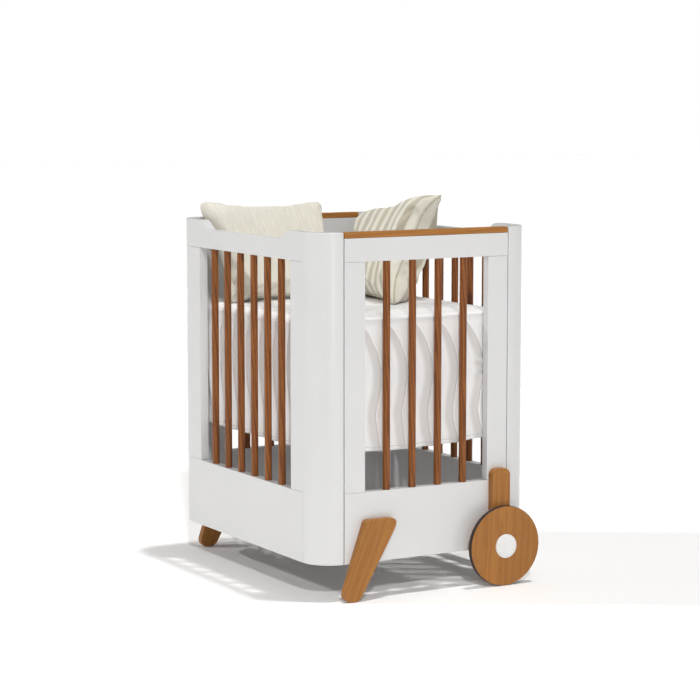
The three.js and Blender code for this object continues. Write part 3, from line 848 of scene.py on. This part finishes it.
def blow_up(piece, pressure, frames, reach):
    """Fills a sewn cover with the cloth simulation, and keeps the result.

    reach: the farthest that a point may move.
    """
    scene = bpy.context.scene
    before = [v.co.copy() for v in piece.data.vertices]
    cloth = piece.modifiers.new("filling", "CLOTH")
    settings = cloth.settings
    settings.quality = 6
    settings.mass = 0.2
    settings.tension_stiffness = 20
    settings.compression_stiffness = 20
    settings.shear_stiffness = 8
    settings.bending_stiffness = 0.4
    settings.use_pressure = True
    settings.uniform_pressure_force = pressure
    settings.shrink_min = -0.035
    settings.effector_weights.gravity = 0
    cloth.point_cache.frame_start = 1
    cloth.point_cache.frame_end = frames
    for step in range(1, frames + 1):
        scene.frame_set(step)
    seen = piece.evaluated_get(bpy.context.evaluated_depsgraph_get())
    moved = [v.co.copy() for v in seen.data.vertices]
    piece.modifiers.clear()
    for vertex, start, end in zip(piece.data.vertices, before, moved):
        step = end - start
        vertex.co = start + step * min(1.0, reach / max(step.length, 1e-9))
    piece.data.update()
    scene.frame_set(1)


def wrinkle(piece, width, height, fans, depth):
    """Adds the creases that run from corners and dents, and smaller uneven ones.

    fans: (s, t, rays, reach), where s and t go from -1 to 1 across and up the pillow.
    """
    for vertex in piece.data.vertices:
        x, y, z = vertex.co
        face = 1 if z >= 0 else -1
        fade = ease(abs(z) / 0.012)
        lift = 0.0
        for s, t, rays, reach in fans:
            lift += fan((x, y), (s * width / 2, t * height / 2), rays, reach)
        lift += 0.7 * noise.noise(Vector((x * 13, y * 13, face * 3.0)))
        lift += 0.35 * noise.noise(Vector((x * 34, y * 34, face * 5.0)))
        vertex.co.z += face * fade * depth * lift


def lay_pillow(piece, corners, thickness, seam_ahead, back_fill):
    """Bends a flat filled cover onto its four corners. The bed and the back rail flatten it.

    corners: bottom left, bottom right, top right, top left, as seen from its front.
    seam_ahead: how far the right seam lies in front of the pillow's middle plane.
    back_fill: how much fuller its back is towards the right.
    """
    bottom_left, bottom_right, top_right, top_left = (Vector(c) for c in corners)
    outward = (top_right - bottom_left).cross(top_left - bottom_right).normalized()
    points = [v.co.copy() for v in piece.data.vertices]
    low = Vector([min(p[k] for p in points) for k in range(3)])
    high = Vector([max(p[k] for p in points) for k in range(3)])
    for vertex, point in zip(piece.data.vertices, points):
        u = (point.x - low.x) / (high.x - low.x)
        v = (point.y - low.y) / (high.y - low.y)
        w = (point.z - (low.z + high.z) / 2) / (high.z - low.z) * thickness
        if w < 0:
            w *= 1 + back_fill * ease(2 * u - 1)
        w += seam_ahead * ease(2 * u - 1) ** 2 * (1 - (2 * v - 1) ** 6)
        flat = bottom_left.lerp(bottom_right, u).lerp(top_left.lerp(top_right, u), v)
        placed = flat + outward * w
        pressed = 0.0004 * (2 + noise.noise(placed * 40))
        placed.z = max(placed.z, BED_TOP + pressed)
        placed.y = min(placed.y, SIDE_FACE - pressed)
        vertex.co = placed
    piece.data.update()


def pillow(name, node, size, fans, material, slot, body, **lying):
    """Sews, fills and lays one pillow. lying: what lay_pillow needs. Gives the seam's vertices too."""
    cover, seam = sewn_cover(name, *size, COVER_CELLS, SEWN_DEPTH, material)
    blow_up(cover, FILL_PRESSURE, FILL_FRAMES, FILL_REACH)
    wrinkle(cover, *size, fans, WRINKLE_DEPTH)
    lay_pillow(cover, **lying)
    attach(cover, body)
    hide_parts(node)
    finer = cover.modifiers.new("finer", "SUBSURF")
    finer.levels = finer.render_levels = 1
    return cover, seam


class CRIB_OT_plain_pillow(bpy.types.Operator):
    """Makes the cream pillow that leans on the head end."""

    bl_idname = "crib.plain_pillow"
    bl_label = "Plain pillow"

    def execute(self, context):
        finishes = context.scene.crib_finishes
        linen = brushed_linen("cream_linen", finishes.cream)
        corner_fans = [(-1, -1, 6, 0.1), (1, -1, 6, 0.1), (1, 1, 5, 0.09), (-1, 1, 5, 0.09)]
        dent_fan = (-0.5, -0.9, 4, 0.08)
        pillow(
            "plain_pillow_cover", "plain_pillow", (0.40, 0.33), [*corner_fans, dent_fan], linen,
            slot="plain_linen", body="pillow_plain",
            corners=[
                (-0.172, -0.290, 0.748),
                (-0.182, 0.076, 0.748),
                (-0.336, 0.088, 1.016),
                (-0.344, -0.302, 1.024),
            ],
            thickness=0.122, seam_ahead=0.0, back_fill=0.0,
        )
        return {"FINISHED"}


class CRIB_OT_striped_pillow(bpy.types.Operator):
    """Makes the striped pillow with its piped seam."""

    bl_idname = "crib.striped_pillow"
    bl_label = "Striped pillow"

    def execute(self, context):
        sizes, finishes = context.scene.crib_sizes, context.scene.crib_finishes
        linen = striped_linen("striped_linen", finishes.stripe_ground, finishes.stripe, STRIPE_PITCH)
        corner_fans = [(-1, -1, 6, 0.1), (1, -1, 7, 0.12), (1, 1, 6, 0.09), (-1, 1, 5, 0.09)]
        side_fan = (1, -0.3, 8, 0.07)
        cover, seam = pillow(
            "striped_pillow_cover", "striped_pillow", (0.38, 0.38), [*corner_fans, side_fan], linen,
            slot="striped_linen", body="pillow_striped",
            corners=[
                (-0.245, 0.138, 0.748),
                (0.112, 0.084, 0.744),
                (0.026, 0.290, 1.046),
                (-0.335, 0.242, 0.974),
            ],
            thickness=0.146, seam_ahead=0.03, back_fill=0.4,
        )
        line = [cover.data.vertices[i].co.copy() for i in seam]
        for point in line:
            point.z = max(point.z, BED_TOP + sizes.pipe)
            point.y = min(point.y, SIDE_FACE - sizes.pipe)
        cord_along("striped_pillow_piping", line, sizes.pipe, linen, "pillow_striped")
        return {"FINISHED"}


# ---------- frame finishes ----------


class CRIB_OT_painted_boards(bpy.types.Operator):
    """Paints the posts, rails, panels, stiles and the mattress base."""

    bl_idname = "crib.painted_boards"
    bl_label = "Painted boards"

    def execute(self, context):
        sizes, finishes = context.scene.crib_sizes, context.scene.crib_finishes
        paint = satin_paint("satin_white_paint", finishes.paint)
        boards = [f"{side}_{part}" for side in (*SIDES, *ENDS) for part in ("top_rail", "bottom_panel")]
        boards += [f"corner_post_{end}_{side}" for end in ENDS for side in SIDES]
        boards += [f"{end}_stile_{side}" for end in ENDS for side in SIDES]
        dress([*boards, "mattress_base"], paint, sizes.board_edge)
        return {"FINISHED"}


class CRIB_OT_light_wood(bpy.types.Operator):
    """Finishes the cap rails, legs, struts and wheel discs in light wood."""

    bl_idname = "crib.light_wood"
    bl_label = "Light wood"

    def execute(self, context):
        sizes, finishes = context.scene.crib_sizes, context.scene.crib_finishes
        ground, grain = finishes.light_wood, finishes.light_wood_grain
        lengthwise = lacquered_wood("cap_rail_wood", ground, grain, (math.radians(90), 0, 0))
        leaning = lacquered_wood("leg_wood", ground, grain, (math.radians(25), 0, 0))
        upright = lacquered_wood("wheel_wood", ground, grain, (math.radians(5), 0, 0))
        for end in ENDS:
            dress([f"{end}_cap_rail"], lengthwise, sizes.cap_edge)
            dress([f"{end}_leg"], leaning, sizes.wood_edge)
            dress([f"{end}_wheel_strut"], upright, sizes.wood_edge)
            dress([f"{end}_wheel_disc"], upright, sizes.metal_edge * 1.6)
        return {"FINISHED"}


class CRIB_OT_slats(bpy.types.Operator):
    """Finishes the round slats in reddish brown wood."""

    bl_idname = "crib.slats"
    bl_label = "Slats"

    def execute(self, context):
        sizes, finishes = context.scene.crib_sizes, context.scene.crib_finishes
        ground, grain = finishes.dowel_wood, finishes.dowel_grain
        wood = lacquered_wood("slat_wood", ground, grain, fine=1.8, contrast=0.8)
        dress([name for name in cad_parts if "_dowel_" in name], wood, sizes.metal_edge)
        return {"FINISHED"}


class CRIB_OT_fittings(bpy.types.Operator):
    """Finishes the tyres, hub caps, axles and base brackets."""

    bl_idname = "crib.fittings"
    bl_label = "Fittings"

    def execute(self, context):
        sizes, finishes = context.scene.crib_sizes, context.scene.crib_finishes
        steel = plated_steel("zinc_plated_steel", finishes.steel)
        rubber = rubber_band("tyre_rubber", finishes.rubber)
        plastic = moulded_plastic("hub_cap_white", finishes.cap)
        edge = sizes.metal_edge
        dress([f"{end}_tyre" for end in ENDS], rubber, edge)
        dress([f"{end}_hub_cap" for end in ENDS], plastic, edge)
        dress([f"{end}_axle" for end in ENDS], steel, edge)
        dress([f"base_bracket_{end}_{side}" for end in ENDS for side in SIDES], steel, edge, 2)
        return {"FINISHED"}


# ---------- stage ----------

FLOOR_REACH = 30.0                # from the middle of the floor to its edges
FLOOR_SINK = 0.0005               # the floor lies this far below the feet
FROM_OVERHEAD = (0.09, 0.12, 1.0)
FROM_SIDE = (-0.62, -1.0, 0.8)
FROM_END = (1.0, -0.46, 0.78)
SOFTBOX_PLACE = (3.4, -0.95, 1.3)
SOFTBOX_AIM = (0.4, -0.3, 0.6)
SOFTBOX_SIZE = (0.45, 2.4)


def far_light(name, toward, strength, spread, tint=(1, 1, 1)):
    """A distant light. toward: the direction it comes from; spread: its width in degrees."""
    data = bpy.data.lights.new(name, "SUN")
    data.energy = strength
    data.angle = math.radians(spread)
    data.color = tint
    light = bpy.data.objects.new(name, data)
    light.location = Vector(toward).normalized() * 4
    light.rotation_euler = Vector(toward).to_track_quat("Z", "Y").to_euler()
    bpy.context.scene.collection.objects.link(light)


def softbox(place, aim, size, power):
    """A tall light panel that the camera doesn't see."""
    data = bpy.data.lights.new("softbox", "AREA")
    data.shape = "RECTANGLE"
    data.size, data.size_y = size
    data.energy = power
    light = bpy.data.objects.new("softbox", data)
    light.location = place
    light.rotation_euler = (Vector(place) - Vector(aim)).to_track_quat("Z", "Y").to_euler()
    light.visible_camera = False
    bpy.context.scene.collection.objects.link(light)


class CRIB_OT_stage(bpy.types.Operator):
    """Sets the floor, the lights and the camera."""

    bl_idname = "crib.stage"
    bl_label = "Stage"

    def execute(self, context):
        scene = context.scene
        stage = scene.crib_stage
        corners = [(x * FLOOR_REACH, y * FLOOR_REACH, 0) for x, y in ((-1, -1), (1, -1), (1, 1), (-1, 1))]
        floor = new_piece("floor", corners, [(0, 1, 2, 3)], plain_floor("pale_floor"))
        floor.location.z = -FLOOR_SINK

        world = bpy.data.worlds.new("studio")
        world.use_nodes = True
        tree = world.node_tree
        sky = tree.nodes["Background"]
        sky.inputs["Color"].default_value = (1, 1, 1, 1)
        sky.inputs["Strength"].default_value = stage.sky
        backdrop = tree.nodes.new("ShaderNodeBackground")
        backdrop.inputs["Color"].default_value = (1, 1, 1, 1)
        paths = tree.nodes.new("ShaderNodeLightPath")
        choose = tree.nodes.new("ShaderNodeMixShader")
        tree.links.new(paths.outputs["Is Camera Ray"], choose.inputs[0])
        tree.links.new(sky.outputs[0], choose.inputs[1])
        tree.links.new(backdrop.outputs[0], choose.inputs[2])
        tree.links.new(choose.outputs[0], tree.nodes["World Output"].inputs["Surface"])
        scene.world = world

        far_light("overhead", FROM_OVERHEAD, stage.overhead, 3, (1.0, 0.995, 0.985))
        far_light("side", FROM_SIDE, stage.side, 2)
        far_light("end", FROM_END, stage.end, 2.5)
        softbox(SOFTBOX_PLACE, SOFTBOX_AIM, SOFTBOX_SIZE, stage.softbox)

        camera = bpy.data.objects.new("camera", bpy.data.cameras.new("camera"))
        camera.data.lens = stage.lens
        camera.data.sensor_width = 36
        camera.data.clip_end = 200
        camera.location = stage.camera_place
        ahead = Vector((
            -math.sin(stage.camera_turn) * math.cos(stage.camera_tilt),
            math.cos(stage.camera_turn) * math.cos(stage.camera_tilt),
            -math.sin(stage.camera_tilt),
        ))
        camera.rotation_euler = ahead.to_track_quat("-Z", "Y").to_euler()
        scene.collection.objects.link(camera)
        scene.camera = camera
        scene.view_settings.view_transform = "Standard"
        return {"FINISHED"}


# ---------- panel and registration ----------

PIECES = (
    CRIB_OT_stage,
    CRIB_OT_painted_boards,
    CRIB_OT_light_wood,
    CRIB_OT_slats,
    CRIB_OT_fittings,
    CRIB_OT_mattress,
    CRIB_OT_bed_drape,
    CRIB_OT_plain_pillow,
    CRIB_OT_striped_pillow,
)


class CRIB_PT_panel(bpy.types.Panel):
    """Lists the crib's settings and pieces."""

    bl_idname = "CRIB_PT_panel"
    bl_label = "Baby crib"
    bl_space_type = "VIEW_3D"
    bl_region_type = "UI"
    bl_category = "Crib"

    def draw(self, context):
        layout = self.layout
        for group in (context.scene.crib_finishes, context.scene.crib_sizes, context.scene.crib_stage):
            box = layout.box()
            for key in group.bl_rna.properties.keys():
                if key not in ("rna_type", "name"):
                    box.prop(group, key)
        for piece in PIECES:
            layout.operator(piece.bl_idname)


GROUPS = (CribFinishes, CribSizes, CribStage)


def register():
    for made in (*GROUPS, *PIECES, CRIB_PT_panel):
        bpy.utils.register_class(made)
    bpy.types.Scene.crib_finishes = bpy.props.PointerProperty(type=CribFinishes)
    bpy.types.Scene.crib_sizes = bpy.props.PointerProperty(type=CribSizes)
    bpy.types.Scene.crib_stage = bpy.props.PointerProperty(type=CribStage)


def unregister():
    del bpy.types.Scene.crib_stage
    del bpy.types.Scene.crib_sizes
    del bpy.types.Scene.crib_finishes
    for made in reversed((*GROUPS, *PIECES, CRIB_PT_panel)):
        bpy.utils.unregister_class(made)


def main():
    register()
    for piece in PIECES:
        section, action = piece.bl_idname.split(".")
        getattr(getattr(bpy.ops, section), action)()


if __name__ == "__main__":
    main()
